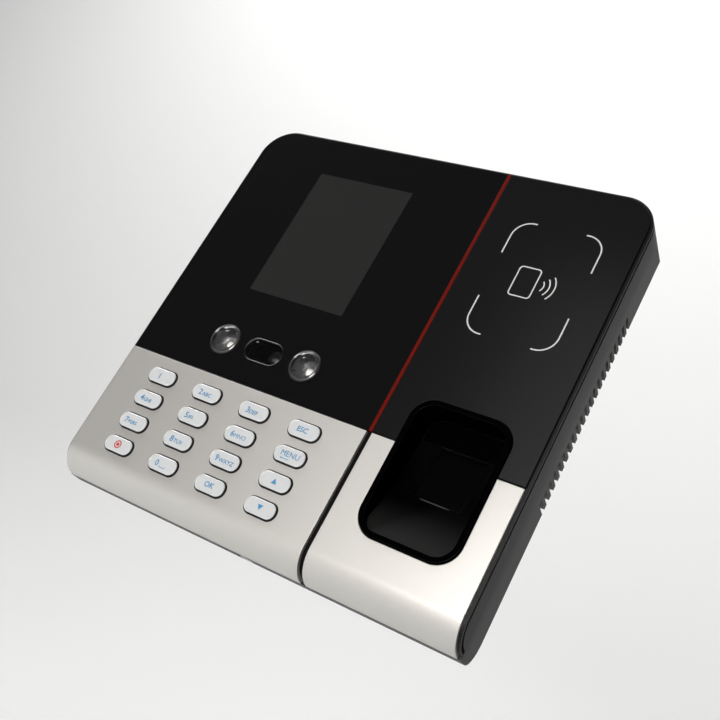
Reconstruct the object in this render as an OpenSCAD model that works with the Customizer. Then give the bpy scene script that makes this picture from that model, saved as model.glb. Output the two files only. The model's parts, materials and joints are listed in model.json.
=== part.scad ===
// Wall terminal with a fingerprint sensor, a twin camera, a card reader and a keypad.
// X runs to the terminal's right, Z up the wall, and the face looks along -Y.
// The origin is the centre of the wall plate's four screw holes, on the wall.

/* [Body] */
// Width over the front rim
body_w = 169.5; // [165:0.5:180]
// Height from the foot to the top of the rim
body_h = 166; // [162:0.5:176]
// Depth from the face to the back of the housing
body_t = 25; // [25:0.5:30]
// Gap between the housing and the wall
wall_gap = 0.5; // [0.3:0.1:1]
// Radius of the two top corners
corner_r = 13; // [10:0.5:16]
// Radius of the rolled lower front edge
nose_r = 10.5; // [10:0.1:11]
// Radius of the lower rear edge
heel_r = 9.5; // [8:0.1:10]
// How far the walls lean in at the back
taper = 1.2; // [0.5:0.1:2]
// Depth at which the walls start to lean in
taper_start = 11.6; // [10:0.1:13]
// Thickness of the housing's walls
wall_t = 2.2; // [1.8:0.1:2.4]

/* [Face] */
// Thickness of the black panels and silver covers
panel_t = 1.5; // [1.3:0.1:1.5]
// Width of the rim round the panels
rim_w = 1; // [0.8:0.1:1.2]
// How far the rim lies behind the face
rim_set = 1; // [0.8:0.1:1.2]
// Height of the line where black meets silver
split_z = -29.6; // [-31:0.1:-28]
// Centre of the upright gap between left and right
gap_x = 26.5; // [25:0.1:28]
// Width of the upright gap between the silver covers
gap_w = 2.1; // [1.8:0.1:2.4]
// Width of the red strip
strip_w = 1.3; // [1.1:0.1:1.5]

/* [Display and cameras] */
// Centre of the screen and the cameras across the face
screen_x = -28.3; // [-30:0.1:-26]
// Height of the screen's centre
screen_z = 36.3; // [35:0.1:38]
// Visible width of the screen
screen_w = 43.2; // [40:0.1:44]
// Visible height of the screen
screen_h = 57.6; // [54:0.1:58]
// Height of the cameras' centre
camera_z = -15.2; // [-16:0.1:-14.5]
// Distance between the two infra-red lamps
lamp_pitch = 37.4; // [36:0.1:39]
// Radius of a lamp lens
lamp_r = 6.3; // [6:0.1:6.5]

/* [Keypad] */
// Centre of the first key across the face
key_x = -62.7; // [-63.5:0.1:-62]
// Height of the first row of keys
key_z = -37.7; // [-38:0.1:-37]
// Distance between key columns
key_dx = 22.3; // [21.5:0.1:22.5]
// Distance between key rows
key_dz = 10.03; // [9.9:0.01:10.1]
// Width of a key
key_w = 12.6; // [12:0.1:13]
// Height of a key
key_h = 5.9; // [5.6:0.1:6]
// How far a key stands proud of the cover
key_proud = 0.9; // [0.8:0.1:1]
// How far a key can be pressed
key_travel = 0.8; // [0.6:0.1:0.8]

/* [Finger well] */
// Centre of the well across the face
well_x = 55.6; // [55:0.1:56]
// Height of the well's centre
well_z = -37; // [-38:0.1:-36.5]
// Width of the notch that holds the well
well_w = 37.2; // [36.5:0.1:38]
// Height of the notch that holds the well
well_h = 51; // [50:0.1:52]
// Corner radius of the notch
well_r = 8.6; // [8:0.1:9]
// How far the well's rim stands proud of the face
well_proud = 1.2; // [0.8:0.1:1.6]

/* [Wall plate] */
// Distance between the wall screws, both ways
screw_pitch = 100; // [90:1:100]
// Diameter of the wall screw holes
screw_hole = 4.5; // [4:0.1:5]
// Thickness of the steel plate
plate_t = 1.5; // [1.2:0.1:1.6]

/* [Hidden] */
face_y = -wall_gap - body_t;
back_y = -wall_gap;
half_w = body_w / 2;
half_h = body_h / 2;
// The roll of the lower front edge is centred here, in Y and Z
nose_y = face_y + nose_r;
nose_z = -half_h + nose_r;
// Layers behind the face
panel_y = face_y + panel_t;
frame_t = 2;
frame_y = panel_y + frame_t;
// The rear housing starts behind the parting groove
groove_d = 0.8;
rim_t = 0.9;
groove_t = 1.2;
seam = 0.15;
housing_set = rim_set + rim_t + groove_t;
housing_y = face_y + housing_set;
// The wall plate lies in a recess in the housing's back
plate_w = 116;
plate_h = 124;
recess_gap = 1;
recess_y = -plate_t - wall_gap;
inner_back_y = recess_y - wall_t;
// Bay for the plugs, open at the back, and the plate's opening inset from it
bay_x0 = -46;
bay_x1 = 26;
bay_z0 = -46;
bay_z1 = -14;
bay_y = -15;
bay_wall = 1.5;
bay_floor = 1;
bay_rim = 2;
// Two hooks hold the housing on the plate, and a screw from below locks it
hook_x = 25;
hook_z = 56;
hook_w = 10;
hook_h = 5.5;
lock_y = -11;
lock_w = 14;
lock_z = -70;
lock_tab_d = 3;
lock_pocket_y = -14.5;
lock_boss_r = 3.8;
lock_screw_r = 1.5;
// Bosses for the housing screws and posts for the boards, in X and Z
boss_r = 3.5;
boss_hole_r = 1.5;
boss_screw_r = 1.45;
boss_screw_y = -16;
screw_head_r = 2.8;
screw_head_set = 3.2;
bosses = [[-76, 70], [76, 74], [-76, -20], [-76, -68], [76, -68], [30, -70]];
post_r = 2.2;
post_hole_r = 1.05;
board_hole_r = 1.1;
main_posts = [[-67, -1], [-67, 71], [23, 8], [23, 71]];
camera_posts = [for (s = [-1, 1]) [screen_x + s * 28.6, camera_z]];
key_posts = [for (c = [0.5, 2.5], r = [0.5, 2.5]) [key_x + c * key_dx, key_z - r * key_dz]];
// Boards: the front of each lies at its own depth
board_t = 1.6;
board_y = -17.6;
main_low = [-71, -5];
main_high = [27, 75];
board_back = board_y + board_t;
camera_board_y = -18.6;
key_board_y = -18.4;
small_board_t = 1.2;
mat_t = 0.6;
// Vent slots through the side walls, open to the back
vent_n = 21;
vent_pitch = 3.6;
vent_w = 1.8;
vent_z = -28;
vent_deep = 3;
vent_l = 8.5;
speaker_x = -70;
speaker_z = -44;
speaker_r = 8.6;
tamper_x = -52;
tamper_z = 40;
plunger_r = 1.55;
// Keys: the gap round each one, its flange behind the frame, and its stem with room to travel
key_gap = 0.45;
key_r = 2.7;
key_flange = 1;
stem_r = 2;
stem_y = key_board_y - key_travel - 0.35;
// Twin cameras behind one window with a ring
eye_pitch = 7;
eye_r = 3;
window_w = 15.7;
window_h = 8.4;
ring_t = 0.8;
// The lamp lens is a slice of a ball this big, this far proud of the face
lens_ball_r = 16;
lens_proud = 1.6;
lamp_body_r = 1.6;
// The sensor window's centre, and how far it leans back towards its top
sensor_tilt = 8.7;
sensor_y = -14.5;
sensor_z = -32;
glass_w = 17.6;
glass_h = 21;
glass_t = 2;
glass_set = 0.6;
// Corners of the well's hollow in Y and Z: foot and head of the window, and the depth of the top wall
window_foot = [-15.9, -42.6];
window_head = [-12.7, -21.8];
well_top_y = -14.8;
well_back_y = -10;
well_lip = 1.8;
well_over = 0.3;
sensor_half_w = 13;
sensor_low = -48;
sensor_high = -18;
sensor_back_y = -6.3;
// Sockets over the bay: centre X, width, rear Y, and how far each reaches up
socket_y = -16;
power = [-37.5, 9, -5, 14];
usb = [-21.5, 14, -9, 14];
network = [-1.8, 16.4, -4.5, 19];
wires = [17.4, 16, -7, 12];
sockets = [power, usb, network, wires];
// The display behind the screen, and the half gap between black and silver
display_w = 50;
display_h = 69.2;
split_gap = 0.2;
strip_x = gap_x + 0.1;
cable_t = 0.3;
slip = 0.05;
fine = 64;

KEYS = [
    "key_1", "key_2", "key_3", "key_esc",
    "key_4", "key_5", "key_6", "key_menu",
    "key_7", "key_8", "key_9", "key_up",
    "key_power", "key_0", "key_ok", "key_down"
];

// ---- drawing helpers ----

// A drawing in X and Z, made solid from y0 back to y1
module plan(y0, y1) {
    translate([0, y1, 0]) rotate([90, 0, 0]) linear_extrude(y1 - y0) children();
}

// A drawing in Y and Z, made solid from x0 to x1
module side(x0, x1) {
    translate([x0, 0, 0]) rotate([90, 0, 90]) linear_extrude(x1 - x0) children();
}

// A box given by its two corners
module block(low, high) {
    translate(low) cube(high - low);
}

// A cylinder along Y, from y0 back to y1
module rod_y(x, z, y0, y1, r) {
    translate([x, y1, z]) rotate([90, 0, 0]) cylinder(h = y1 - y0, r = r, $fn = fine);
}

// A cone or cylinder along Y, with a radius at each end
module cone_y(x, z, y0, y1, r0, r1) {
    translate([x, y1, z]) rotate([90, 0, 0]) cylinder(h = y1 - y0, r1 = r1, r2 = r0, $fn = fine);
}

// A flat rounded rectangle about a centre
module pad(x, z, w, h, r) {
    translate([x, z]) {
        square([w - 2 * r, h], center = true);
        square([w, h - 2 * r], center = true);
        for (sx = [-1, 1], sz = [-1, 1])
            translate([sx * (w / 2 - r), sz * (h / 2 - r)]) circle(r, $fn = fine);
    }
}

// The outline of the face, drawn in by an inset: round top corners and square feet
module face_outline(inset) {
    w = half_w - inset;
    h = half_h - inset;
    r = corner_r - inset;
    translate([-w, -half_h]) square([2 * w, half_h + h - r]);
    translate([-w + r, -half_h]) square([2 * (w - r), half_h + h]);
    for (s = [-1, 1]) translate([s * (w - r), h - r]) circle(r, $fn = fine);
}

// The end view of the body in Y and Z, drawn in by an inset; front is the inset of the face and nose
module end_view(inset, front) {
    back = back_y - inset;
    low = -half_h + inset;
    heel = heel_r - inset;
    top = half_h - inset;
    translate([face_y + front, nose_z]) square([back - face_y - front, top - nose_z]);
    translate([nose_y, nose_z]) circle(nose_r - front, $fn = fine);
    translate([nose_y, low]) square([back - heel - nose_y, nose_z - low]);
    intersection() {
        translate([back - heel, low + heel]) circle(heel, $fn = fine);
        translate([nose_y, low]) square([back - nose_y, 2 * heel]);
    }
    translate([back - heel - 1, low + heel]) square([heel + 1, nose_z - low - heel]);
}

// Takes the lean of the side and top walls off the back of a body
module lean(inset) {
    w = half_w - inset;
    t = half_h - inset;
    y0 = face_y + taper_start;
    far = 4;
    for (s = [0, 1]) mirror([s, 0, 0]) translate([0, 0, -half_h - far])
        linear_extrude(body_h + 2 * far)
            polygon([[w, y0], [w - taper, back_y], [w - taper, far], [w + far, far], [w + far, y0]]);
    side(-half_w - far, half_w + far)
        polygon([[y0, t], [back_y, t - taper], [far, t - taper], [far, t + far], [y0, t + far]]);
}

// The whole body as one solid, drawn in by an inset
module body_solid(inset, front) {
    difference() {
        intersection() {
            side(-half_w + inset, half_w - inset) end_view(inset, front);
            plan(face_y - 1, 1) face_outline(inset);
        }
        lean(inset);
    }
}

// A skin that follows the face and rolls under the nose, between two depths
module face_skin(d0, d1) {
    side(-half_w, half_w) {
        translate([face_y + d0, nose_z]) square([d1 - d0, body_h]);
        intersection() {
            translate([nose_y, nose_z]) difference() {
                circle(nose_r - d0, $fn = fine);
                circle(nose_r - d1, $fn = fine);
            }
            translate([nose_y - nose_r, nose_z - nose_r]) square([nose_r - seam, nose_r]);
        }
    }
}

// Centre of key i, four to a row
function key_cx(i) = key_x + (i % 4) * key_dx;
function key_cz(i) = key_z - floor(i / 4) * key_dz;

module key_outline(i, grow) {
    pad(key_cx(i), key_cz(i), key_w + 2 * grow, key_h + 2 * grow, key_r + grow);
}

module well_outline(grow) {
    pad(well_x, well_z, well_w + 2 * grow, well_h + 2 * grow, well_r + grow);
}

module camera_outline(grow) {
    h = window_h + 2 * grow;
    pad(screen_x, camera_z, window_w + 2 * grow, h, h / 2 - 0.01);
}

// A place that a child takes at each lamp
module at_lamp(s) {
    translate([screen_x + s * lamp_pitch / 2, 0, camera_z]) children();
}

// ---- back ----

module wall_plate() {
    color("silver") {
        difference() {
            union() {
                plan(-plate_t, 0) pad(0, 0, plate_w, plate_h, 5);
                block([-lock_w / 2, -plate_t, lock_z - plate_t], [lock_w / 2, 0, -plate_h / 2 + 4]);
            }
            for (sx = [-1, 1], sz = [-1, 1])
                rod_y(sx * screw_pitch / 2, sz * screw_pitch / 2, -5, 5, screw_hole / 2);
            plan(-5, 5) pad((bay_x0 + bay_x1) / 2, (bay_z0 + bay_z1) / 2,
                bay_x1 - bay_x0 - 2 * bay_rim, bay_z1 - bay_z0 - 2 * bay_rim, 3);
        }
        for (s = [-1, 1]) hook(s * hook_x);
        lock_tab();
    }
}

// A hook stands out of the plate and turns up behind the housing's back wall
module hook(x) {
    reach = inner_back_y - 0.3;
    x0 = x - hook_w / 2;
    block([x0, reach - plate_t, hook_z], [x0 + hook_w, -plate_t, hook_z + plate_t]);
    block([x0, reach - plate_t, hook_z], [x0 + hook_w, reach, hook_z + hook_h]);
}

// A shelf at the foot of the plate takes the lock screw from below
module lock_tab() {
    difference() {
        block([-lock_w / 2, lock_y - lock_tab_d, lock_z - plate_t], [lock_w / 2, -plate_t, lock_z]);
        translate([0, lock_y, lock_z - 5]) cylinder(h = 10, r = lock_screw_r + slip, $fn = fine);
    }
}

module lock_screw() {
    head = 1.6;
    color("gainsboro") translate([0, lock_y, -half_h + 0.1]) difference() {
        union() {
            cylinder(h = head, r = 2.7, $fn = fine);
            cylinder(h = lock_z + half_h + 1, r = lock_screw_r, $fn = fine);
        }
        translate([0, 0, -1]) cylinder(h = 2, r = 1.2, $fn = 6);
    }
}

module rear_housing() {
    color("dimgray") difference() {
        union() {
            difference() {
                intersection() {
                    body_solid(0, housing_set);
                    block([-half_w, housing_y - nose_r, -half_h], [half_w, 0, half_h]);
                }
                housing_hollow();
            }
            bay_walls();
            for (b = bosses) rod_y(b[0], b[1], inner_back_y - 3, back_y - 1, boss_r);
            translate([0, lock_y, -half_h + 1]) cylinder(h = 3.2, r = lock_boss_r, $fn = fine);
        }
        plan(recess_y, 1) pad(0, 0, plate_w + 2 * recess_gap, plate_h + 2 * recess_gap, 6);
        lock_pocket(0);
        translate([0, lock_y, -half_h - 1]) cylinder(h = 2.8, r = 3, $fn = fine);
        translate([0, lock_y, -half_h - 1]) cylinder(h = 14, r = 1.7, $fn = fine);
        block([bay_x0, bay_y, bay_z0], [bay_x1, 1, bay_z1]);
        for (c = sockets)
            block([c[0] - c[1] / 2 - 0.2, socket_y - 1, bay_z1 - 1],
                [c[0] + c[1] / 2 + 0.2, c[2] + 0.2, bay_z1 + 3]);
        for (s = [-1, 1])
            block([s * hook_x - hook_w / 2 - 1, -8, hook_z - 1],
                [s * hook_x + hook_w / 2 + 1, 1, hook_z + hook_h + 1.5]);
        for (b = bosses) {
            rod_y(b[0], b[1], inner_back_y - 5, 1, boss_hole_r + 0.2);
            rod_y(b[0], b[1], back_y - screw_head_set, 1, screw_head_r + 0.4);
        }
        rod_y(tamper_x, tamper_z, inner_back_y - 1, 1, plunger_r + 0.35);
        vent_slots();
        speaker_slots();
    }
}

// The space inside the housing: deeper outside the wall plate's recess
module housing_hollow() {
    difference() {
        body_solid(wall_t, wall_t);
        plan(inner_back_y, 1) pad(0, 0, plate_w + 2 * recess_gap + 2 * wall_t,
            plate_h + 2 * recess_gap + 2 * wall_t, 8);
        lock_pocket(bay_wall);
    }
}

// The pocket for the plate's lock tab, drawn out by a wall
module lock_pocket(wall) {
    x = lock_w / 2 + 1 + wall;
    block([-x, lock_pocket_y - wall, lock_z - plate_t - 1 - wall], [x, 1, -plate_h / 2]);
}

// The bay's floor and its four walls, with the sockets' openings in the top one
module bay_walls() {
    block([bay_x0 - bay_wall, bay_y - bay_floor, bay_z0 - bay_wall],
        [bay_x1 + bay_wall, inner_back_y + 0.5, bay_z1 + bay_wall]);
}

// Slots across each side wall's rear edge
module vent_slots() {
    for (s = [-1, 1], i = [0:vent_n - 1])
        translate([s * (half_w - taper), 0, vent_z + i * vent_pitch])
            block([-vent_deep, back_y - vent_l, 0], [vent_deep, back_y + 1, vent_w]);
}

module speaker_slots() {
    for (i = [-2:2]) block([speaker_x - 4, -6, speaker_z + i * 3 - 0.7],
        [speaker_x + 8, 1, speaker_z + i * 3 + 0.7]);
}

module housing_screws() {
    color("gainsboro") for (b = bosses) difference() {
        union() {
            rod_y(b[0], b[1], back_y - screw_head_set, back_y - 1.2, screw_head_r);
            rod_y(b[0], b[1], boss_screw_y, back_y - screw_head_set, boss_screw_r);
        }
        rod_y(b[0], b[1], back_y - 2.3, back_y, 1.1);
    }
}

// ---- front ----

module front_frame() {
    color("#1d1d20") difference() {
        union() {
            intersection() {
                face_skin(rim_set, rim_set + rim_t);
                plan(face_y - 1, 0) face_outline(0);
            }
            // The floor of the parting groove, then the plate inside the housing's walls
            intersection() {
                face_skin(panel_t, housing_set - seam);
                plan(face_y - 1, 0) face_outline(groove_d);
            }
            intersection() {
                face_skin(panel_t, panel_t + frame_t);
                plan(face_y - 1, 0) face_outline(wall_t + 0.3);
            }
            // A lip fits inside the housing
            difference() {
                plan(frame_y - 1, frame_y + 3) face_outline(wall_t + 0.3);
                plan(frame_y - 2, frame_y + 4) face_outline(wall_t + 1.8);
                block([-half_w, face_y, -half_h - 1], [half_w, 0, nose_z]);
            }
            for (b = bosses) rod_y(b[0], b[1], frame_y - 0.5, inner_back_y - 3.3, boss_r);
            for (p = main_posts) rod_y(p[0], p[1], frame_y - 0.5, board_y, post_r);
            for (p = camera_posts) rod_y(p[0], p[1], frame_y - 0.5, camera_board_y, post_r);
            for (p = key_posts) rod_y(p[0], p[1], frame_y - 0.5, key_board_y, post_r);
        }
        intersection() {
            face_skin(-1, panel_t);
            plan(face_y - 2, 0) face_outline(rim_w);
        }
        plan(face_y, frame_y + 1) {
            translate([screen_x, screen_z]) square([screen_w + 2, screen_h + 2], center = true);
            camera_outline(0.4);
            well_outline(0.4);
            for (i = [0:15]) key_outline(i, key_gap);
        }
        for (s = [-1, 1]) at_lamp(s) rod_y(0, 0, face_y, frame_y + 1, lamp_r + 0.3);
        for (b = bosses) rod_y(b[0], b[1], boss_screw_y - 0.2, 0, boss_hole_r);
        for (p = concat(main_posts, camera_posts, key_posts))
            rod_y(p[0], p[1], frame_y + 0.5, 0, post_hole_r);
    }
}

// One panel of the face, between two X positions, cut to the rim's inside
module face_piece(x0, x1, z0, z1) {
    intersection() {
        face_skin(0, panel_t);
        plan(face_y - 1, 0) intersection() {
            face_outline(rim_w + slip);
            translate([x0, z0]) square([x1 - x0, z1 - z0]);
        }
    }
}

module display_panel() {
    color("#101013") difference() {
        face_piece(-half_w, strip_x - strip_w / 2 - slip, split_z + split_gap, half_h);
        plan(face_y - 1, 0) camera_outline(ring_t + 0.1);
        for (s = [-1, 1]) at_lamp(s) rod_y(0, 0, face_y - 1, 0, lamp_r + 0.12);
    }
}

module card_panel() {
    color("#1b1b20") difference() {
        face_piece(strip_x + strip_w / 2 + slip, half_w, split_z + split_gap, half_h);
        plan(face_y - 1, 0) well_outline(0);
    }
}

module accent_strip() {
    color("firebrick")
        face_piece(strip_x - strip_w / 2, strip_x + strip_w / 2, split_z + split_gap, half_h);
}

module keypad_cover() {
    color("silver") difference() {
        face_piece(-half_w, gap_x - gap_w / 2, -half_h, split_z - split_gap);
        plan(face_y - 1, panel_y + 1) for (i = [0:15]) key_outline(i, key_gap);
    }
}

module sensor_cover() {
    color("gainsboro") difference() {
        face_piece(gap_x + gap_w / 2, half_w, -half_h, split_z - split_gap);
        plan(face_y - 1, panel_y + 1) well_outline(0);
    }
}

// ---- finger well ----

module finger_well() {
    top = well_z + well_h / 2 - well_lip;
    low = well_z - well_h / 2 + well_lip;
    color("#141416") difference() {
        plan(face_y - well_proud, well_back_y) well_outline(-well_over);
        intersection() {
            plan(face_y - 5, 0) well_outline(-well_over - well_lip);
            side(well_x - well_w, well_x + well_w) polygon([
                [face_y - 5, low], [face_y + 0.6, low], window_foot, window_head,
                [well_top_y, top], [face_y - 5, top]
            ]);
        }
        sensor_place() block([-glass_w / 2, -3, -glass_h / 2 + 0.6], [glass_w / 2, 12, glass_h / 2 - 0.6]);
        sensor_place()
            block([-glass_w / 2 - 0.7, glass_set, -glass_h / 2], [glass_w / 2 + 0.7, 12, glass_h / 2]);
    }
}

// The sensor's window leans back towards its top
module sensor_place() {
    translate([well_x, sensor_y, sensor_z]) rotate([-sensor_tilt, 0, 0]) children();
}

module sensor_glass() {
    color("#20303a") sensor_place()
        block([-glass_w / 2 - 0.6, glass_set, -glass_h / 2 + 0.1],
            [glass_w / 2 + 0.6, glass_set + glass_t, glass_h / 2 - 0.1]);
}

module sensor_housing() {
    color("#26262a") difference() {
        block([well_x - sensor_half_w, well_back_y + 0.1, sensor_low],
            [well_x + sensor_half_w, sensor_back_y, sensor_high]);
        sensor_place() block([-7, 0, -8], [7, 7, 8]);
    }
}

module sensor_board() {
    color("darkgreen") block([well_x - sensor_half_w, sensor_back_y + 0.1, sensor_low],
        [well_x + sensor_half_w, sensor_back_y + 0.1 + small_board_t, sensor_high]);
}

// ---- lamps and cameras ----

module lamp_lens(s) {
    color("lightcyan") at_lamp(s) intersection() {
        rod_y(0, 0, face_y - lens_proud - 1, frame_y - 0.6, lamp_r);
        translate([0, face_y - lens_proud + lens_ball_r, 0]) sphere(r = lens_ball_r, $fn = 96);
    }
}

module lamp_reflector(s) {
    color("whitesmoke") at_lamp(s) difference() {
        rod_y(0, 0, frame_y - 0.4, camera_board_y - 0.1, lamp_r - 0.3);
        cone_y(0, 0, frame_y - 0.5, camera_board_y - 0.8, lamp_r - 0.9, 1.9);
        rod_y(0, 0, frame_y, camera_board_y + 1, 1.75);
    }
}

module lamp(s) {
    color("#c8c4b8") at_lamp(s) {
        rod_y(0, 0, camera_board_y - 1.6, camera_board_y, lamp_body_r);
        intersection() {
            translate([0, camera_board_y - 1.6, 0]) sphere(r = lamp_body_r - slip, $fn = 48);
            rod_y(0, 0, camera_board_y - 4, camera_board_y - 1.55, 2);
        }
    }
}

module camera_ring() {
    color("silver") plan(face_y - 0.5, panel_y - 0.1) difference() {
        camera_outline(ring_t);
        camera_outline(0);
    }
}

module camera_window() {
    color("#18181c") plan(face_y + 0.1, panel_y - 0.2) camera_outline(-slip);
}

module camera_eye(s) {
    color("#0e0e12") translate([screen_x + s * eye_pitch / 2, 0, camera_z]) difference() {
        union() {
            rod_y(0, 0, panel_y + 0.3, camera_board_y, eye_r);
            block([-3.3, frame_y + 0.5, -3.8], [3.3, camera_board_y, 3.8]);
        }
        cone_y(0, 0, panel_y, panel_y + 1.6, 2.5, 1.4);
    }
}

module camera_board() {
    color("darkgreen") difference() {
        plan(camera_board_y, camera_board_y + small_board_t)
            pad(screen_x, camera_z, 62, 17.4, 1);
        for (p = camera_posts) rod_y(p[0], p[1], -30, 0, board_hole_r);
    }
}

// ---- display ----

module display_module() {
    color("#2b3036") block([screen_x - display_w / 2, frame_y + 0.7, screen_z - display_h / 2],
        [screen_x + display_w / 2, board_y - 0.5, screen_z + display_h / 2]);
}

module display_gasket() {
    color("#0a0a0a") plan(frame_y + 0.05, frame_y + 0.65) difference() {
        translate([screen_x, screen_z]) square([screen_w + 6, screen_h + 8], center = true);
        translate([screen_x, screen_z]) square([screen_w + 2, screen_h + 2], center = true);
    }
}

// A flat cable steps down from the display to the main board
module display_cable() {
    low = screen_z - display_h / 2;
    front = board_y - 2;
    rear = front + cable_t;
    color("darkgoldenrod") side(screen_x - 8, screen_x + 8) polygon([
        [front, low], [front, low - 2.6], [board_y - 0.5, low - 5.2], [board_y, low - 5.2],
        [board_y, low - 4.9], [board_y - 0.4, low - 4.9], [rear, low - 2.4], [rear, low]
    ]);
}

// ---- boards ----

module main_board() {
    color("darkgreen") difference() {
        block([main_low[0], board_y, main_low[1]], [main_high[0], board_back, main_high[1]]);
        for (p = main_posts) rod_y(p[0], p[1], -30, 0, board_hole_r);
    }
}

module keypad_board() {
    color("darkgreen") difference() {
        block([key_x - 9, key_board_y, -74], [key_x + 3 * key_dx + 9, key_board_y + small_board_t, -31]);
        for (p = key_posts) rod_y(p[0], p[1], -30, 0, board_hole_r);
    }
}

// One sheet with a collar round each key's stem
module keypad_mat() {
    y0 = key_board_y - mat_t - slip;
    color("whitesmoke") difference() {
        union() {
            plan(y0, key_board_y - slip) translate([key_x - 8.5, -73])
                square([3 * key_dx + 17, 39.4]);
            for (i = [0:15]) rod_y(key_cx(i), key_cz(i), y0 - 0.5, y0 + 0.1, stem_r + 1.75);
        }
        for (i = [0:15]) rod_y(key_cx(i), key_cz(i), -25, -10, stem_r + 0.4);
        for (p = key_posts) rod_y(p[0], p[1], -25, -10, post_r + 0.2);
    }
}

// A flat cable from the keypad's board up to the main board
module keypad_cable() {
    low = key_board_y - slip;
    high = board_y - slip;
    color("darkgoldenrod") side(8, 18) polygon([
        [low - cable_t, -33.2], [low, -33.2], [low, -31], [high, -5.4], [high, -2],
        [high - cable_t, -2], [high - cable_t, -5.4], [low - cable_t, -31]
    ]);
}

// A cap with a flange that the frame holds back, and a stem down to the board
module key(i) {
    flange_y = frame_y + 0.2;
    color("white") {
        plan(face_y - key_proud, flange_y + slip) key_outline(i, 0);
        plan(flange_y, flange_y + key_flange) key_outline(i, key_flange);
        rod_y(key_cx(i), key_cz(i), frame_y + key_flange, stem_y, stem_r);
    }
}

// A board with a window in the middle of its aerial
module reader_board() {
    y = frame_y + 0.6;
    low = 1;
    high = 69;
    edge = 11;
    color("darkgreen") difference() {
        block([well_x - 23, y, low], [well_x + 23, y + small_board_t, high]);
        block([well_x - 15, y - 1, low + edge], [well_x + 15, y + 2, high - edge]);
    }
}

module battery() {
    color("steelblue") plan(-13.4, -4.6) pad(57, 38, 34, 62, 3);
}

module speaker() {
    color("#33333a") {
        rod_y(speaker_x, speaker_z, -8, -3.2, speaker_r);
        rod_y(speaker_x, speaker_z, -11, -8, speaker_r - 3);
    }
}

module relay() {
    color("royalblue") block([4, board_back, 24], [24, -7, 34]);
}

// ---- sockets, on the main board, with their mouths in the bay's top wall ----

module socket_body(s) {
    block([s[0] - s[1] / 2, socket_y, bay_z1 + 0.6], [s[0] + s[1] / 2, s[2], bay_z1 + s[3]]);
}

// A square hole up into a socket, from depth y0 to y1
module mouth(x, w, y0, y1, deep) {
    block([x - w / 2, y0, bay_z1], [x + w / 2, y1, bay_z1 + deep]);
}

module power_socket() {
    y = -10.5;
    color("#202024") difference() {
        socket_body(power);
        translate([power[0], y, bay_z1]) cylinder(h = 11, r = 3.2, $fn = fine);
    }
    color("silver") translate([power[0], y, bay_z1 + 1.5]) cylinder(h = 10, r = 1, $fn = fine);
}

module usb_socket() {
    color("silver") difference() {
        socket_body(usb);
        mouth(usb[0], 12.8, -14.9, -9.6, 11);
    }
    color("ivory") translate([0, 0, 1.4]) mouth(usb[0], 10.8, -13.2, -11.4, 10.6);
}

// The plug's mouth, with a narrower slot for its latch
module network_socket() {
    color("silver") difference() {
        socket_body(network);
        mouth(network[0], 11.8, -14.6, -7.6, 13);
        mouth(network[0], 6.2, -7.7, -5.4, 13);
    }
}

// Four wire holes from below, each with a clamp screw reached from behind
module terminal_block() {
    pitch = 3.8;
    deep = 7;
    color("seagreen") difference() {
        socket_body(wires);
        for (i = [-1.5:1.5]) {
            mouth(wires[0] + i * pitch, 2.8, -13.6, -10.8, deep);
            rod_y(wires[0] + i * pitch, bay_z1 + deep, -9, 0, 1.3);
        }
    }
}

// ---- tamper switch, pressed by the wall plate ----

module tamper_switch() {
    color("#17171a") difference() {
        block([tamper_x - 4, board_back, tamper_z - 4], [tamper_x + 4, -8.5, tamper_z + 4]);
        rod_y(tamper_x, tamper_z, -14.4, -8, plunger_r + 0.2);
    }
}

module tamper_plunger() {
    color("orange") rod_y(tamper_x, tamper_z, -12.5, -plate_t - 0.3, plunger_r);
}

module board_screws() {
    color("gainsboro") {
        for (p = main_posts) board_screw(p, board_back);
        for (p = camera_posts) board_screw(p, camera_board_y + small_board_t);
        for (p = key_posts) board_screw(p, key_board_y + small_board_t);
    }
}

// A screw through a board's hole into its post
module board_screw(p, seat) {
    rod_y(p[0], p[1], seat, seat + 1, 2);
    rod_y(p[0], p[1], seat - 4, seat, 1);
}

// A folded flat cable from the sensor's board to the main board
module sensor_cable() {
    y = sensor_back_y + 0.1 + small_board_t;
    x = main_high[0] - 0.5;
    low = -1;
    high = 5;
    color("darkgoldenrod") {
        block([52, y, sensor_high - 2], [60, y + cable_t, high]);
        block([x, y, low], [60, y + cable_t, high]);
        block([x, board_back, low], [x + cable_t, y + cable_t, high]);
    }
}

wall_plate();
lock_screw();
rear_housing();
housing_screws();
front_frame();
display_panel();
card_panel();
accent_strip();
keypad_cover();
sensor_cover();
finger_well();
sensor_glass();
sensor_housing();
sensor_board();
lamp_lens(-1);  // lamp_lens_left
lamp_lens(1);  // lamp_lens_right
lamp_reflector(-1);  // lamp_reflector_left
lamp_reflector(1);  // lamp_reflector_right
lamp(-1);  // lamp_left
lamp(1);  // lamp_right
camera_ring();
camera_window();
camera_eye(-1);  // camera_left
camera_eye(1);  // camera_right
camera_board();
display_module();
display_gasket();
main_board();
keypad_board();
keypad_mat();
reader_board();
speaker();
battery();
network_socket();
usb_socket();
power_socket();
terminal_block();
relay();
tamper_switch();
tamper_plunger();
board_screws();
display_cable();
keypad_cable();
sensor_cable();
for (i = [0:15]) key(i);
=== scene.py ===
import json
import math

import bmesh
import bpy
from mathutils import Matrix, Vector

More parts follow.
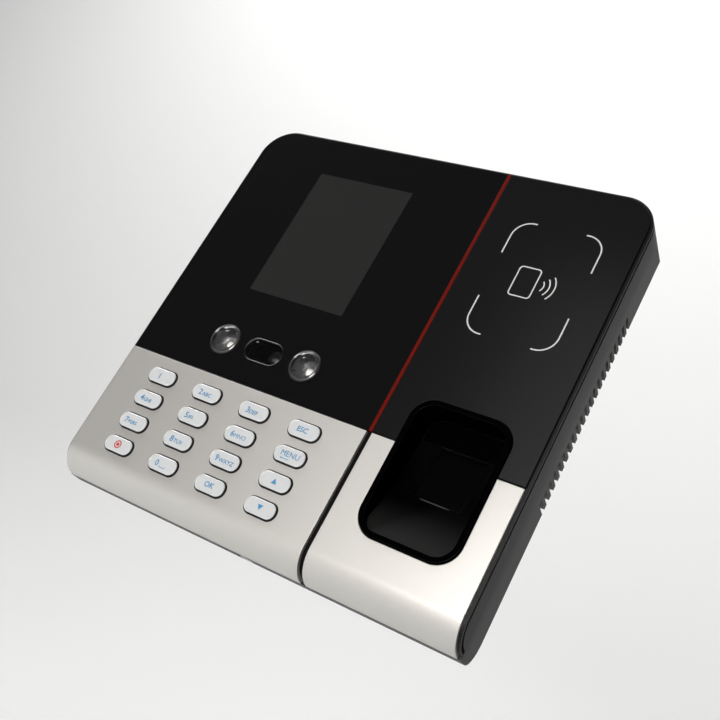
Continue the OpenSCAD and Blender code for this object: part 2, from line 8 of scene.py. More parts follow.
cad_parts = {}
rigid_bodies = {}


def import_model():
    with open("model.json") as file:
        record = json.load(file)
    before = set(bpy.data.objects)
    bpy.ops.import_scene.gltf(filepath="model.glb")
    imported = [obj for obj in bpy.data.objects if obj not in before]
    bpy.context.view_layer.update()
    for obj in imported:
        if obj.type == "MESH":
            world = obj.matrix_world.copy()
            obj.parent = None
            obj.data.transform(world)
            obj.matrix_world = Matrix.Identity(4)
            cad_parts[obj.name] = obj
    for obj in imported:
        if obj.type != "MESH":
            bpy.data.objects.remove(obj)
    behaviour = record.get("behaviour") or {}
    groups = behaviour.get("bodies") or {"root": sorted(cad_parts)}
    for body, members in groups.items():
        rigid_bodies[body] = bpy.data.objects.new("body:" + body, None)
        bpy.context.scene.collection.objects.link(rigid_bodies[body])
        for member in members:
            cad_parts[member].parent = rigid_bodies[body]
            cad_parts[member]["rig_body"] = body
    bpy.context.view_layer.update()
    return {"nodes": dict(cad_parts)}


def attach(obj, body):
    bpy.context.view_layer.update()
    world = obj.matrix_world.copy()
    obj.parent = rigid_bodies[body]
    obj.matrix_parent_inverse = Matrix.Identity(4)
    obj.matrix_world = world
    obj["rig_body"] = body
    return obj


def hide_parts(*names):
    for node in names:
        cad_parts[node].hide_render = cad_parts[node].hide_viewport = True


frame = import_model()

# The terminal hangs on a wall: X to its right, Z up, and its face looks along -Y.
# Sizes are written in millimetres and turned into metres when a mesh is made.
MM = 0.001

FACE_Y = -25.5
SCREEN_X, SCREEN_Z = -28.3, 36.3
SCREEN_W, SCREEN_H = 43.2, 57.6
CAMERA_Z = -15.2
LAMP_PITCH = 37.4
LAMP_R = 6.3
KEY_X, KEY_Z = -62.7, -37.7
KEY_DX, KEY_DZ = 22.3, 10.03
KEY_W, KEY_H, KEY_R = 12.6, 5.9, 2.7
KEY_TOP = FACE_Y - 0.9
# the finger well: the foot of the sensor window, and the height above which the well is given painted shadow
WINDOW_FOOT_Z = -42.6
WELL_PAINTED_SHADOW_Z = -24
# the upright gap between the silver covers, and the line where they meet the black panels
GAP_X, GAP_W, SPLIT_Z = 26.5, 2.1, -29.6
# a face looks forwards where its normal's Y is below this
FORWARD = -0.8


# ---- materials ----

GRAIN_DEPTH = 0.05 * MM


def material(name, colour, roughness=0.5, metallic=0.0, specular=0.5, coat=0.0, coat_roughness=0.03,
             transmission=0.0, ior=1.5, alpha=1.0, grain=None, mottle=None):
    """A Principled material.

    grain is (scale, strength) of a fine bump, and mottle is (scale, amount) of noise in the roughness.
    """
    made = bpy.data.materials.new(name)
    made.use_nodes = True
    tree = made.node_tree
    shader = tree.nodes["Principled BSDF"]
    shader.inputs["Base Color"].default_value = (*colour, 1)
    shader.inputs["Roughness"].default_value = roughness
    shader.inputs["Metallic"].default_value = metallic
    shader.inputs["Specular IOR Level"].default_value = specular
    shader.inputs["Coat Weight"].default_value = coat
    shader.inputs["Coat Roughness"].default_value = coat_roughness
    shader.inputs["Transmission Weight"].default_value = transmission
    shader.inputs["IOR"].default_value = ior
    shader.inputs["Alpha"].default_value = alpha
    if grain or mottle:
        place = tree.nodes.new("ShaderNodeTexCoord")
    if grain:
        noise = tree.nodes.new("ShaderNodeTexNoise")
        noise.inputs["Scale"].default_value = grain[0]
        noise.inputs["Detail"].default_value = 3
        bump = tree.nodes.new("ShaderNodeBump")
        bump.inputs["Strength"].default_value = grain[1]
        bump.inputs["Distance"].default_value = GRAIN_DEPTH
        tree.links.new(place.outputs["Object"], noise.inputs["Vector"])
        tree.links.new(noise.outputs["Fac"], bump.inputs["Height"])
        tree.links.new(bump.outputs["Normal"], shader.inputs["Normal"])
    if mottle:
        cloud = tree.nodes.new("ShaderNodeTexNoise")
        cloud.inputs["Scale"].default_value = mottle[0]
        spread = tree.nodes.new("ShaderNodeMapRange")
        spread.inputs["To Min"].default_value = roughness - mottle[1]
        spread.inputs["To Max"].default_value = roughness + mottle[1]
        tree.links.new(place.outputs["Object"], cloud.inputs["Vector"])
        tree.links.new(cloud.outputs["Fac"], spread.inputs["Value"])
        tree.links.new(spread.outputs["Result"], shader.inputs["Roughness"])
    return made


MATERIALS = {
    "plate_steel": material("plate_steel", (0.55, 0.56, 0.57), 0.38, 0.9, mottle=(120, 0.08)),
    "screw_steel": material("screw_steel", (0.6, 0.6, 0.6), 0.3, 1.0),
    "housing_plastic": material("housing_plastic", (0.015, 0.0135, 0.0185), 0.42, specular=0.36,
                                grain=(2500, 0.25)),
    "frame_plastic": material("frame_plastic", (0.006, 0.006, 0.0075), 0.4, specular=0.25,
                              grain=(2500, 0.1)),
    "gloss_black": material("gloss_black", (0.004, 0.004, 0.0045), 0.12, specular=0.5),
    "screen_black": material("screen_black", (0.021, 0.021, 0.021), 0.12, specular=0.5),
    "accent_red": material("accent_red", (0.13, 0.006, 0.003), 0.4, specular=0.05),
    "satin_silver": material("satin_silver", (0.66, 0.65, 0.63), 0.42, 0.7, grain=(4000, 0.12)),
    "well_plastic": material("well_plastic", (0.0012, 0.0012, 0.0014), 0.34, specular=0.04,
                             grain=(3000, 0.05)),
    # a lighter grey for the ridge below the sensor window: a painted highlight
    "window_painted_highlight": material("window_painted_highlight", (0.045, 0.045, 0.048), 0.5, specular=0.25),
    "panel_edge": material("panel_edge", (0.003, 0.003, 0.0032), 0.5, specular=0.08),
    "satin_black": material("satin_black", (0.0045, 0.0045, 0.0052), 0.2, specular=0.48),
    # painted shadow: near-black with no reflection, for the shaded rim, walls and upper part of the finger
    # well
    "well_shadow": material("well_shadow", (0.0008, 0.0008, 0.001), 0.3, specular=0.0),
    "well_edge": material("well_edge", (0.005, 0.005, 0.0056), 0.28, specular=0.35),
    "dark_glass": material("dark_glass", (0.001, 0.001, 0.0012), 0.1, specular=0.2),
    "board_green": material("board_green", (0.01, 0.09, 0.03), 0.45, mottle=(300, 0.1)),
    "clear_lens": material("clear_lens", (1, 1, 1), 0.02, transmission=1.0, ior=1.45),
    "mirror_cup": material("mirror_cup", (0.30, 0.30, 0.31), 0.24, 0.95),
    "frosted_lens": material("frosted_lens", (0.03, 0.03, 0.032), 0.16, specular=0.8, coat=0.8),
    "lamp_body": material("lamp_body", (0.85, 0.84, 0.8), 0.25, coat=0.5),
    "ring_chrome": material("ring_chrome", (0.12, 0.12, 0.125), 0.35, 1.0),
    "smoked_glass": material("smoked_glass", (0.003, 0.003, 0.003), 0.06, specular=0.3, alpha=0.62),
    "camera_black": material("camera_black", (0.02, 0.02, 0.022), 0.3, coat=0.6),
    "display_metal": material("display_metal", (0.3, 0.31, 0.32), 0.35, 0.9),
    "foam_black": material("foam_black", (0.01, 0.01, 0.01), 0.9, grain=(1500, 0.4)),
    "mat_silicone": material("mat_silicone", (0.62, 0.62, 0.6), 0.55),
    "battery_wrap": material("battery_wrap", (0.05, 0.16, 0.36), 0.4, coat=0.3),
    "socket_metal": material("socket_metal", (0.62, 0.62, 0.6), 0.3, 0.95),
    "terminal_green": material("terminal_green", (0.03, 0.3, 0.1), 0.42),
    "relay_blue": material("relay_blue", (0.02, 0.1, 0.42), 0.4),
    "plunger_orange": material("plunger_orange", (0.75, 0.2, 0.02), 0.45),
    "flat_cable": material("flat_cable", (0.5, 0.28, 0.06), 0.35, coat=0.4),
    # dark for the key's sides and the outer part of its rounding: painted shade round each key
    "key_painted_shade": material("key_painted_shade", (0.03, 0.03, 0.032), 0.6),
    "key_plastic": material("key_plastic", (0.62, 0.64, 0.66), 0.3, coat=0.3),
    "legend_blue": material("legend_blue", (0.04, 0.24, 0.48), 0.5),
    "legend_red": material("legend_red", (0.55, 0.02, 0.02), 0.5),
    "print_white": material("print_white", (0.6, 0.6, 0.6), 0.5),
}


def paint_shade_upwards(name, low_z, high_z, low_grey, high_grey):
    """Paints shade into a material's colour with height, from one grey to another, between two heights in
    millimetres.
    """
    tree = MATERIALS[name].node_tree
    place = tree.nodes.new("ShaderNodeTexCoord")
    split = tree.nodes.new("ShaderNodeSeparateXYZ")
    fade = tree.nodes.new("ShaderNodeMapRange")
    fade.interpolation_type = "SMOOTHSTEP"
    fade.inputs["From Min"].default_value = low_z * MM
    fade.inputs["From Max"].default_value = high_z * MM
    fade.inputs["To Min"].default_value = low_grey
    fade.inputs["To Max"].default_value = high_grey
    tree.links.new(place.outputs["Object"], split.inputs["Vector"])
    tree.links.new(split.outputs["Z"], fade.inputs["Value"])
    tree.links.new(fade.outputs["Result"], tree.nodes["Principled BSDF"].inputs["Base Color"])


def finish_with(obj, name):
    """Gives a piece one of the materials above."""
    obj.data.materials.clear()
    obj.data.materials.append(MATERIALS[name])


# ---- making meshes ----

# points closer than this, in millimetres, are one point
MERGE = 0.002


def new_piece(name, bm, finish, body="root", sharp=35, stands_for=()):
    """A named object from a bmesh in metres, smooth but for its sharp edges, riding on a CAD body."""
    bmesh.ops.remove_doubles(bm, verts=bm.verts, dist=MERGE * MM)
    bmesh.ops.recalc_face_normals(bm, faces=bm.faces)
    mesh = bpy.data.meshes.new(name)
    bm.to_mesh(mesh)
    bm.free()
    mesh.shade_smooth()
    mesh.set_sharp_from_angle(angle=math.radians(sharp))
    obj = bpy.data.objects.new(name, mesh)
    bpy.context.scene.collection.objects.link(obj)
    finish_with(obj, finish)
    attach(obj, body)
    if stands_for:
        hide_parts(*stands_for)
    return obj


def rounded_rect(w, h, r, steps=8):
    """Points round a rounded rectangle about the origin, in X and Z."""
    points = []
    for sx, sz, start in ((1, 1, 0), (-1, 1, 90), (-1, -1, 180), (1, -1, 270)):
        for i in range(steps + 1):
            a = math.radians(start + 90 * i / steps)
            points.append((sx * (w / 2 - r) + r * math.cos(a), sz * (h / 2 - r) + r * math.sin(a)))
    return points


def loft(loops, closed=False):
    """A bmesh skinned over loops of (x, y, z) points in millimetres, all with the same number of points.

    Its ends are capped, or joined to each other where closed is true.
    """
    bm = bmesh.new()
    rings = [[bm.verts.new(Vector(p) * MM) for p in loop] for loop in loops]
    pairs = list(zip(rings, rings[1:])) + ([(rings[-1], rings[0])] if closed else [])
    for a, b in pairs:
        for i in range(len(a)):
            j = (i + 1) % len(a)
            bm.faces.new((a[i], a[j], b[j], b[i]))
    if not closed:
        bm.faces.new(rings[0])
        bm.faces.new(rings[-1])
    return bm


def lathe(profile, x, z, steps=64):
    """A bmesh turned about the Y axis through (x, z) from a closed profile of (radius, y) points."""
    loops = []
    for i in range(steps):
        a = 2 * math.pi * i / steps
        loops.append([(x + r * math.cos(a), y, z + r * math.sin(a)) for r, y in profile])
    return loft(loops, closed=True)


def cut_across(bm, axis, place):
    """Splits a bmesh's faces where they cross the plane at a place, in millimetres, along axis 0, 1 or 2."""
    point = Vector((0, 0, 0))
    point[axis] = place
    normal = Vector((0, 0, 0))
    normal[axis] = 1
    everything = bm.verts[:] + bm.edges[:] + bm.faces[:]
    bmesh.ops.bisect_plane(bm, geom=everything, plane_co=point * MM, plane_no=normal)


def refine(node, finish, bevel=0.25, segments=3):
    """The CAD node's shape as a clean mesh with softened edges; it takes the node's place."""
    source = frame["nodes"][node]
    bm = bmesh.new()
    bm.from_mesh(source.data)
    bmesh.ops.remove_doubles(bm, verts=bm.verts, dist=MERGE * MM)
    bmesh.ops.dissolve_limit(bm, angle_limit=math.radians(0.4), verts=bm.verts, edges=bm.edges)
    bm.verts.index_update()
    corners = [tuple(v.co) for v in bm.verts]
    faces = [[v.index for v in f.verts] for f in bm.faces]
    bm.free()
    mesh = bpy.data.meshes.new(node + "_skin")
    mesh.from_pydata(corners, [], faces)
    mesh.validate()
    mesh.shade_smooth()
    mesh.set_sharp_from_angle(angle=math.radians(75))
    obj = bpy.data.objects.new(mesh.name, mesh)
    bpy.context.scene.collection.objects.link(obj)
    soften = obj.modifiers.new("soft edges", "BEVEL")
    soften.width = bevel * MM
    soften.segments = segments
    soften.limit_method = "ANGLE"
    soften.angle_limit = math.radians(32)
    soften.use_clamp_overlap = True
    level = obj.modifiers.new("level faces", "WEIGHTED_NORMAL")
    level.weight = 100
    level.keep_sharp = True
    finish_with(obj, finish)
    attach(obj, source["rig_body"])
    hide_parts(node)
    return obj


# ---- housing, frame, panels and covers ----

def build_shell():
    refine("rear_housing", "housing_plastic", bevel=0.35)
    paint_groove_shade(refine("front_frame", "frame_plastic", bevel=0.22))
    panel = refine("display_panel", "gloss_black", bevel=0.18)
    mark_screen(panel)
    dull_edges(panel)
    card = refine("card_panel", "satin_black", bevel=0.18)
    dull_edges(card)
    refine("accent_strip", "accent_red", bevel=0.08)
    refine("keypad_cover", "satin_silver", bevel=0.25)
    refine("sensor_cover", "satin_silver", bevel=0.25)
    soften_well(refine("finger_well", "well_plastic", bevel=0.45, segments=4))
    refine("sensor_glass", "dark_glass", bevel=0.2)
    build_painted_highlight()


def paint_groove_shade(rim):
    """Gives the front frame under the upright gap between the silver covers a darker, matt material: painted
    shade in the groove.
    """
    reach = GAP_W / 2 + 0.3
    bm = bmesh.new()
    bm.from_mesh(rim.data)
    cut_across(bm, 0, GAP_X - reach)
    cut_across(bm, 0, GAP_X + reach)
    for face in bm.faces:
        c = face.calc_center_median() / MM
        # painted shade: the frame at the bottom of the groove takes the darker, matt material
        if abs(c.x - GAP_X) < reach and c.z < SPLIT_Z:
            face.material_index = 1
    bm.to_mesh(rim.data)
    bm.free()
    rim.data.materials.append(MATERIALS["panel_edge"])


def dull_edges(panel):
    """A panel's softened edges are matt, unlike its polished front."""
    panel.data.materials.append(MATERIALS["panel_edge"])
    panel.modifiers["soft edges"].material = len(panel.data.materials) - 1


def build_painted_highlight():
    """A low ridge along the foot of the sensor window, tapered to its ends, in a lighter grey: a painted
    highlight.
    """
    centre_x, y, z = 55.2, -16.35, -42.5
    half, rise, width = 10.5, 0.32, 0.5
    steps, sides, thinnest = 8, 12, 0.15
    loops = []
    for step in range(-steps, steps + 1):
        along = step / steps
        size = max(1 - abs(along) ** 3, thinnest)
        loop = []
        for k in range(sides):
            a = 2 * math.pi * k / sides
            dy, dz = size * rise * math.cos(a), size * width * math.sin(a)
            loop.append((centre_x + half * along, y + dy, z + dz))
        loops.append(loop)
    new_piece("sensor_painted_highlight", loft(loops), "window_painted_highlight", stands_for=("sensor_glass",))


def soften_well(well):
    """Turns the crease between the finger ramp and the window's bed into a long curve.

    The curve runs over a reach above and below the crease, whose two sides differ by a slope. The rim, the
    walls and the upper part take a near-black material without reflection, as painted shadow, and the ramp's
    colour darkens upwards as painted shade; the bevels on the edges catch a little light.
    """
    reach, cuts, slope = 9.0, 6, 0.343
    bm = bmesh.new()
    bm.from_mesh(well.data)
    for k in range(-cuts, cuts + 1):
        cut_across(bm, 2, WINDOW_FOOT_Z + reach * k / cuts)
    behind_rim = (FACE_Y + 1) * MM
    floor = [f for f in bm.faces if f.normal.y < FORWARD and f.calc_center_median().y > behind_rim]
    for v in {v for f in floor for v in f.verts}:
        off = abs(v.co.z / MM - WINDOW_FOOT_Z)
        if off < reach:
            v.co.y -= slope * (reach - off) ** 2 / (4 * reach) * MM
    # painted shadow: the rim, the walls and the well above the shadow height take the near-black,
    # unreflecting material
    for face in bm.faces:
        c = face.calc_center_median() / MM
        if c.y < FACE_Y + 0.5 or face.normal.y > FORWARD or c.z > WELL_PAINTED_SHADOW_Z:
            face.material_index = 1
    bm.to_mesh(well.data)
    bm.free()
    well.data.materials.append(MATERIALS["well_shadow"])
    well.data.materials.append(MATERIALS["well_edge"])
    well.modifiers["soft edges"].material = 2
    # painted shade: the ramp's colour darkens from the foot of the well up towards the window
    paint_shade_upwards("well_plastic", -60, -44, 0.016, 0.0006)


def mark_screen(panel):
    """Cuts the screen's outline into the panel's front and gives the inside its own dark grey."""
    x0, x1 = SCREEN_X - SCREEN_W / 2, SCREEN_X + SCREEN_W / 2
    z0, z1 = SCREEN_Z - SCREEN_H / 2, SCREEN_Z + SCREEN_H / 2
    bm = bmesh.new()
    bm.from_mesh(panel.data)
    for axis, place in ((0, x0), (0, x1), (2, z0), (2, z1)):
        cut_across(bm, axis, place)
    for face in bm.faces:
        c = face.calc_center_median() / MM
        if x0 < c.x < x1 and z0 < c.z < z1 and face.normal.y < FORWARD:
            face.material_index = 1
    bm.to_mesh(panel.data)
    bm.free()
    panel.data.materials.append(MATERIALS["screen_black"])


# ---- keys and their legends ----

# What each key shows: a digit, its letters, and how far left of the key's centre the words start
LEGENDS = {
    "key_1": ("1", "", 1.1),
    "key_2": ("2", "ABC", 3.2),
    "key_3": ("3", "DEF", 3.0),
    "key_esc": ("", "ESC", 2.6),
    "key_4": ("4", "GHI", 3.3),
    "key_5": ("5", "JKL", 3.1),
    "key_6": ("6", "MNO", 3.5),
    "key_menu": ("", "MENU", 3.5),
    "key_7": ("7", "PQRS", 3.9),
    "key_8": ("8", "TUV", 3.2),
    "key_9": ("9", "WXYZ", 4.0),
    "key_up": ("", "", 0),
    "key_power": ("", "", 0),
    "key_0": ("0", "", 3.2),
    "key_ok": ("", "OK", 2.1),
    "key_down": ("", "", 0),
}
KEY_CROWN = 0.16
KEY_ROUND = 0.55
# the near-round stem and the flange that holds the key in, both behind the cover
STEM_SIZE = (4, 4, 1.9)
STEM_END_Y, STEM_FOOT_Y = -19.55, -20.75
FLANGE = ((0.85, -20.8), (1.0, -20.95), (1.0, -21.65), (0.85, -21.8))


def key_centre(i):
    """Where the key with this number sits, counting along the rows from the top left."""
    return KEY_X + (i % 4) * KEY_DX, KEY_Z - (i // 4) * KEY_DZ


def crown(dx, dz):
    """Depth of a key's gently domed top at an offset from its centre."""
    return KEY_TOP + KEY_CROWN * ((dx / (KEY_W / 2)) ** 2 + (dz / (KEY_H / 2)) ** 2) / 2


def build_key(i, node):
    cx, cz = key_centre(i)
    loops = []

    def add(grow, y, crowned=False, size=None):
        """Adds a loop round the key, grown past its edge, or of a size of its own."""
        w, h, r = size or (KEY_W + 2 * grow, KEY_H + 2 * grow, max(KEY_R + grow, 0.08))
        ring = rounded_rect(w, h, min(r, h / 2 - 0.01), 10)
        loops.append([(cx + x, y + (crown(x, z) - KEY_TOP if crowned else 0), cz + z) for x, z in ring])

    add(0, STEM_END_Y, size=STEM_SIZE)
    add(0, STEM_FOOT_Y, size=STEM_SIZE)
    for grow, y in FLANGE:
        add(grow, y)
    add(0, FLANGE[-1][1] - 0.05)
    add(0, KEY_TOP + 1.15)
    add(0, KEY_TOP + 0.62)
    steps = 6
    for k in range(1, steps + 1):
        a = math.radians(90 * k / steps)
        add(-KEY_ROUND * (1 - math.cos(a)), KEY_TOP + KEY_ROUND * (1 - math.sin(a)), crowned=k == steps)
    for inset in (1.1, 1.7, 2.3, 2.75):
        add(-inset, KEY_TOP, crowned=True)
    cap = new_piece(node + "_cap", loft(loops), "key_plastic", node + "_body", stands_for=(node,))
    # painted shade: the key's sides and the outer part of its rounding take a dark material, for the shaded
    # gap round the key
    cap.data.materials.append(MATERIALS["key_painted_shade"])
    for face in cap.data.polygons:
        if max(cap.data.vertices[v].co.y / MM for v in face.vertices) > KEY_TOP + 0.3:
            face.material_index = 1


def outline_text(words, height, weight=0.0):
    """The outline of some words, flat: (x, z) points in millimetres from the left end, and faces."""
    curve = bpy.data.curves.new("words", "FONT")
    curve.body = words
    curve.size = 1.0
    curve.offset = weight
    curve.resolution_u = 4
    holder = bpy.data.objects.new("words", curve)
    bpy.context.scene.collection.objects.link(holder)
    bpy.context.view_layer.update()
    evaluated = holder.evaluated_get(bpy.context.evaluated_depsgraph_get())
    flat = bpy.data.meshes.new_from_object(evaluated)
    bpy.data.objects.remove(holder)
    low = min(v.co.y for v in flat.vertices)
    high = max(v.co.y for v in flat.vertices)
    left = min(v.co.x for v in flat.vertices)
    scale = height / (high - low)
    points = [((v.co.x - left) * scale, (v.co.y - low) * scale) for v in flat.vertices]
    faces = [list(p.vertices) for p in flat.polygons]
    bpy.data.meshes.remove(flat)
    return points, faces


def print_on(bm, points, faces, depth_at, thick=0.02):
    """Adds a thin printed layer to a bmesh: flat (x, z) points laid on a surface, with a rim."""
    front = [bm.verts.new(Vector((x, depth_at(x, z) - thick, z)) * MM) for x, z in points]
    back = [bm.verts.new(Vector((x, depth_at(x, z), z)) * MM) for x, z in points]
    edges = {}
    for f in faces:
        bm.faces.new([front[k] for k in f])
        bm.faces.new([back[k] for k in reversed(f)])
        for a, b in zip(f, f[1:] + f[:1]):
            edges[(a, b)] = edges.get((a, b), 0) + 1
    for a, b in edges:
        if (b, a) not in edges:
            bm.faces.new((front[b], front[a], back[a], back[b]))


def ribbon(bm, points, width, depth_at, closed=False):
    """A flat printed stroke of constant width along a line of (x, z) points."""
    left, right = [], []
    n = len(points)
    for k, (x, z) in enumerate(points):
        before = points[(k - 1) % n] if closed or k else points[k]
        after = points[(k + 1) % n] if closed or k < n - 1 else points[k]
        dx, dz = after[0] - before[0], after[1] - before[1]
        size = math.hypot(dx, dz) or 1
        nx, nz = -dz / size * width / 2, dx / size * width / 2
        left.append((x + nx, z + nz))
        right.append((x - nx, z - nz))
    faces = [[k, k + 1, n + k + 1, n + k] for k in range(n - 1)]
    if closed:
        faces.append([n - 1, 0, n, 2 * n - 1])
    print_on(bm, left + right, faces, depth_at)


def arc(cx, cz, r, start, end, steps):
    """Points along an arc between two angles in degrees."""
    return [(cx + r * math.cos(math.radians(start + (end - start) * k / steps)),
             cz + r * math.sin(math.radians(start + (end - start) * k / steps))) for k in range(steps + 1)]


def build_legend(i, node):
    """The printed words or mark on a key, which moves with it."""
    cx, cz = key_centre(i)
    digit, letters, start = LEGENDS[node]
    bm = bmesh.new()
    finish = "legend_blue"

    def on_key(x, z):
        return crown(x - cx, z - cz) - 0.015

    def put(words, height, left, base):
        # an M folds over itself when it is thickened, so words with one stay at their plain weight
        points, faces = outline_text(words, height, 0 if "M" in words else 0.014)
        print_on(bm, [(x + left, z + base) for x, z in points], faces, on_key)
        return left + max(x for x, _ in points)

    left = cx - start
    if digit:
        left = put(digit, 2.3, left, cz - 1.25) + 0.3
    if digit and letters:
        put(letters, 1.55, left, cz - 1.25)
    elif letters:
        put(letters, 2.0, left, cz - (0.7 if node == "key_menu" else 0.95))
    if node == "key_0":
        # a space bar
        x0, x1, top, foot = left + 0.5, left + 3.2, cz - 0.85, cz - 1.3
        ribbon(bm, [(x0, top), (x0, foot), (x1, foot), (x1, top)], 0.22, on_key)
    if node == "key_menu":
        # an arrow to the left, below the word
        line_z = cz - 1.6
        ribbon(bm, [(cx - 2.6, line_z), (cx + 0.6, line_z)], 0.22, on_key)
        head = [(cx - 3.2, line_z), (cx - 2.5, line_z - 0.35), (cx - 2.5, line_z + 0.35)]
        print_on(bm, head, [[0, 1, 2]], on_key)
    if node in ("key_up", "key_down"):
        s = 1 if node == "key_up" else -1
        print_on(bm, [(cx - 1.1, cz - s), (cx + 1.1, cz - s), (cx, cz + 0.95 * s)], [[0, 1, 2]], on_key)
    if node == "key_power":
        finish = "legend_red"
        ribbon(bm, arc(cx - 0.2, cz + 0.1, 1.35, 0, 350, 28), 0.42, on_key, closed=True)
        print_on(bm, arc(cx - 0.2, cz + 0.1, 0.68, 0, 340, 17), [list(range(18))], on_key)
    new_piece(node + "_legend", bm, finish, node + "_body", sharp=60)


# ---- lamps and cameras ----

def build_lamp(side, s):
    """A lamp's clear dome, the frosted flange round it, its mirror cup and the lamp itself."""
    x, z = SCREEN_X + s * LAMP_PITCH / 2, CAMERA_Z
    apex = FACE_Y - 1.6
    ball = 16
    dome_r = 4.9
    cup_sides, bulb_sides = 16, 32

    def dome_y(r):
        return apex + ball - math.sqrt(ball * ball - r * r)

    dome = [(r, dome_y(r)) for r in (0.02, 0.8, 1.6, 2.4, 3.2, 4.0, 4.6, dome_r)]
    edge = [(5.05, dome_y(dome_r) + 0.1), (5.14, dome_y(dome_r) + 0.3), (5.18, -25.6), (5.18, -24.4)]
    inner = [(4.9, -24.5), (4.0, -24.95), (2.6, -25.3), (1.3, -25.45), (0.02, -25.5)]
    new_piece("lamp_dome_" + side, lathe(dome + edge + inner, x, z), "clear_lens",
              stands_for=("lamp_lens_" + side,))
    flange = [(5.22, -22.65), (5.22, -25.6), (5.3, -25.75), (5.45, -25.8), (5.75, -25.66),
              (5.95, -25.72), (6.1, -25.86), (6.22, -25.76), (LAMP_R, -25.5), (LAMP_R, -22.65)]
    new_piece("lamp_flange_" + side, lathe(flange, x, z), "frosted_lens", stands_for=("lamp_lens_" + side,))
    cup = [(1.85, -19.0), (2.6, -19.9), (3.5, -21.0), (4.15, -22.1), (4.6, -23.2), (4.8, -23.9),
           (4.9, -24.15), (5.05, -24.15), (5.13, -23.95), (5.15, -22.5), (5.95, -22.3), (6.0, -22.1),
           (6.0, -18.75), (1.85, -18.75)]
    new_piece("lamp_cup_" + side, lathe(cup, x, z, cup_sides), "mirror_cup", sharp=12,
              stands_for=("lamp_reflector_" + side,))
    bulb = [(0.02, -21.7), (0.6, -21.58), (1.1, -21.25), (1.42, -20.8), (1.5, -20.2), (1.6, -20.15),
            (1.6, -18.65), (0.02, -18.65)]
    new_piece("lamp_bulb_" + side, lathe(bulb, x, z, bulb_sides), "lamp_body", stands_for=("lamp_" + side,))


def obround_loops(section):
    """Loops round the camera window, one for each (growth, y) point of a section."""
    w, h = 15.7, 8.4
    loops = []
    for grow, y in section:
        width, height = w + 2 * grow, h + 2 * grow
        ring = rounded_rect(width, height, height / 2 - 0.005, 14)
        loops.append([(SCREEN_X + x, y, CAMERA_Z + z) for x, z in ring])
    return loops


def build_cameras():
    ridge = [(0.05, -24.1), (0.12, -25.35), (0.2, -25.6), (0.27, -25.78), (0.38, -25.85), (0.49, -25.78),
             (0.56, -25.6), (0.64, -25.35), (0.75, -24.1)]
    new_piece("camera_bezel", loft(obround_loops(ridge), closed=True), "ring_chrome",
              stands_for=("camera_ring",))
    pane = [(-0.12, -24.25), (-0.05, -24.4), (-0.05, -25.25), (-0.3, -25.4)]
    new_piece("camera_pane", loft(obround_loops(pane)), "smoked_glass", stands_for=("camera_window",))
    for side in ("left", "right"):
        refine("camera_" + side, "camera_black", bevel=0.15)


# ---- card mark ----

def build_card_mark():
    """Four plain corner brackets round a generic symbol: an upright card with three radio waves beside it."""
    bm = bmesh.new()
    centre_x, centre_z = 55.4, 39.65
    half_w, half_h, corner_r, arm_w, arm_h = 16.75, 23.65, 6.5, 7.5, 14.3
    card_x, card_w, card_h, card_r = -3.5, 8.0, 12.0, 1.2

    def flat(x, z):
        return FACE_Y - 0.01

    def stroke(points, width, closed=False):
        ribbon(bm, [(centre_x + x, centre_z + z) for x, z in points], width, flat, closed)

    for sx in (-1, 1):
        for sz in (-1, 1):
            bend = arc(half_w - corner_r, half_h - corner_r, corner_r, 0, 90, 10)
            line = [(half_w, half_h - arm_h)] + bend + [(half_w - arm_w, half_h)]
            stroke([(sx * x, sz * z) for x, z in line], 0.52)
    stroke([(card_x + x, z) for x, z in rounded_rect(card_w, card_h, card_r)], 0.46, closed=True)
    for wave_r in (3.0, 5.0, 7.0):
        stroke(arc(card_x + card_w / 2, 0, wave_r, -40, 40, 12), 0.46)
    new_piece("card_mark", bm, "print_white", sharp=60)


# ---- back and inside ----

# CAD nodes that keep their own shape, and the material each one gets
PLAIN = {
    "sensor_housing": "frame_plastic",
    "sensor_board": "board_green",
    "camera_board": "board_green",
    "display_module": "display_metal",
    "display_gasket": "foam_black",
    "main_board": "board_green",
    "keypad_board": "board_green",
    "keypad_mat": "mat_silicone",
    "reader_board": "board_green",
    "speaker": "foam_black",
    "battery": "battery_wrap",
    "relay": "relay_blue",
    "tamper_switch": "frame_plastic",
    "tamper_plunger": "plunger_orange",
    "board_screws": "screw_steel",
    "display_cable": "flat_cable",
    "keypad_cable": "flat_cable",
    "sensor_cable": "flat_cable",
}


def build_back():
    refine("wall_plate", "plate_steel", bevel=0.2)
    refine("lock_screw", "screw_steel", bevel=0.15)
    refine("housing_screws", "screw_steel", bevel=0.15)
    refine("network_socket", "socket_metal", bevel=0.12)
    refine("usb_socket", "socket_metal", bevel=0.12)
    refine("power_socket", "frame_plastic", bevel=0.12)
    refine("terminal_block", "terminal_green", bevel=0.12)
    for node, finish in PLAIN.items():
        finish_with(frame["nodes"][node], finish)


# ---- floor, light and camera ----

def area_light(name, place, target, size, power, colour):
    """A rectangular soft light at a place, turned to face a target."""
    lamp = bpy.data.lights.new(name, "AREA")
    lamp.shape = "RECTANGLE"
    lamp.size, lamp.size_y = size
    lamp.energy = power
    lamp.color = colour
    obj = bpy.data.objects.new(name, lamp)
    obj.location = place
    obj.rotation_mode = "QUATERNION"
    obj.rotation_quaternion = (Vector(target) - Vector(place)).to_track_quat("-Z", "Y")
    bpy.context.scene.collection.objects.link(obj)


def glow(tree, strength, seen, lit):
    """Sets how strong a backdrop's glow is for the camera's own rays, and for light and reflections."""
    path = tree.nodes.new("ShaderNodeLightPath")
    pick = tree.nodes.new("ShaderNodeMapRange")
    pick.inputs["To Min"].default_value = lit
    pick.inputs["To Max"].default_value = seen
    tree.links.new(path.outputs["Is Camera Ray"], pick.inputs["Value"])
    tree.links.new(pick.outputs["Result"], strength)


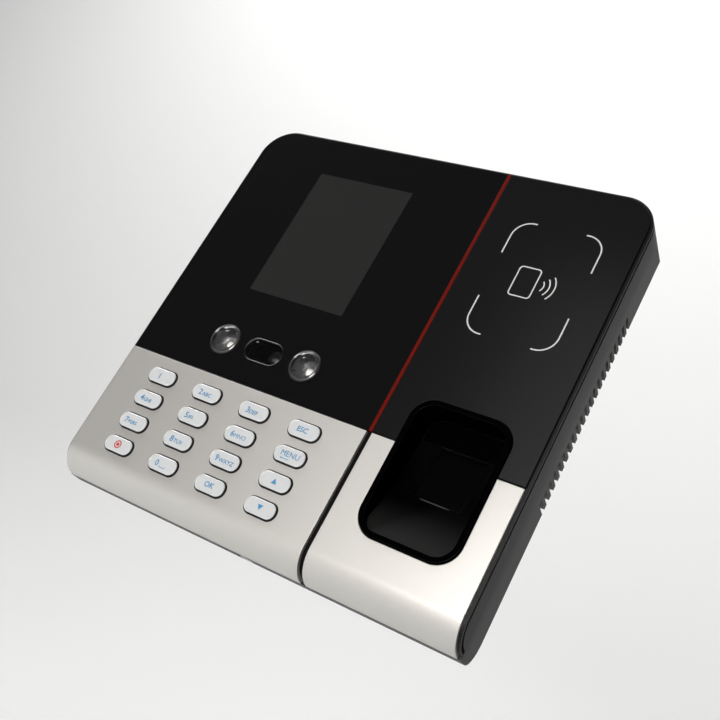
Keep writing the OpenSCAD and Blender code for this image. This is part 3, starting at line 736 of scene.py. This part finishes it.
def build_studio():
    """A pale floor that sweeps up into a pale wall well behind the terminal, and large soft lights."""
    low, wall, bend, half = -0.36, 1.7, 0.6, 4.0
    front, top, steps = -4.0, 3.2, 16
    line = [(front, low), (wall - bend, low)]
    for k in range(1, steps + 1):
        t = math.pi / 2 * k / steps
        line.append((wall - bend + bend * math.sin(t), low + bend - bend * math.cos(t)))
    line.append((wall, top))
    sweep = bmesh.new()
    rows = [[sweep.verts.new((x, y, z)) for x in (-half, half)] for y, z in line]
    for a, b in zip(rows, rows[1:]):
        sweep.faces.new((a[0], a[1], b[1], b[0]))
    mesh = bpy.data.meshes.new("floor")
    sweep.to_mesh(mesh)
    sweep.free()
    mesh.shade_smooth()
    pale = material("floor_pale", (0.72, 0.72, 0.71), 0.8)
    shader = pale.node_tree.nodes["Principled BSDF"]
    shader.inputs["Emission Color"].default_value = (0.9, 0.9, 0.9, 1)
    glow(pale.node_tree, shader.inputs["Emission Strength"], seen=0.3, lit=0.0)
    mesh.materials.append(pale)
    floor = bpy.data.objects.new("floor", mesh)
    bpy.context.scene.collection.objects.link(floor)

    world = bpy.data.worlds.new("studio")
    world.use_nodes = True
    sky = world.node_tree.nodes["Background"]
    sky.inputs["Color"].default_value = (0.8, 0.8, 0.82, 1)
    glow(world.node_tree, sky.inputs["Strength"], seen=0.75, lit=0.06)
    bpy.context.scene.world = world

    neutral, warm, cool = (1, 1, 1), (1.0, 0.97, 0.92), (0.99, 0.96, 1.0)
    area_light("key_softbox", (-0.80, -0.24, 0.83), (0, 0, 0), (0.55, 0.55), 8, neutral)
    area_light("front_softbox", (0.13, -1.1, -0.1), (0.06, 0, -0.03), (0.35, 0.35), 5.6, warm)
    area_light("side_softbox", (-0.1, -1.1, 0), (0.03, 0, -0.03), (0.35, 0.35), 2.0, warm)
    area_light("fill_softbox", (-0.16, -1.57, 0.27), (-0.16, 0, 0.27), (0.92, 1.35), 2.2, cool)
    area_light("wall_softbox", (-1.0, 0.25, 2.7), (-1.0, 1.6, 1.6), (3.2, 1.6), 64, neutral)
    area_light("rear_softbox", (0.58, 1.22, 0.45), (0.085, 0, 0), (0.3, 0.3), 0.06, neutral)


def build_camera():
    """A camera at the photograph's viewing angle: its place, and its right, up and back directions."""
    lens = bpy.data.cameras.new("photo_camera")
    lens.lens = 49.83
    lens.sensor_width = 36
    lens.clip_start, lens.clip_end = 0.01, 20
    camera = bpy.data.objects.new("photo_camera", lens)
    right = Vector((0.82096, 0.32953, 0.46630))
    up = Vector((-0.26750, -0.49953, 0.82396))
    back = Vector((0.50445, -0.80117, -0.32195))
    turn = Matrix((right, up, back)).transposed()
    camera.matrix_world = Matrix.Translation((0.18459, -0.30365, -0.1182)) @ turn.to_4x4()
    bpy.context.scene.collection.objects.link(camera)
    bpy.context.scene.camera = camera


build_shell()
for index, key_node in enumerate(LEGENDS):
    build_key(index, key_node)
    build_legend(index, key_node)
build_lamp("left", -1)
build_lamp("right", 1)
build_cameras()
build_card_mark()
build_back()
build_studio()
build_camera()
bpy.context.scene.view_settings.view_transform = "Standard"
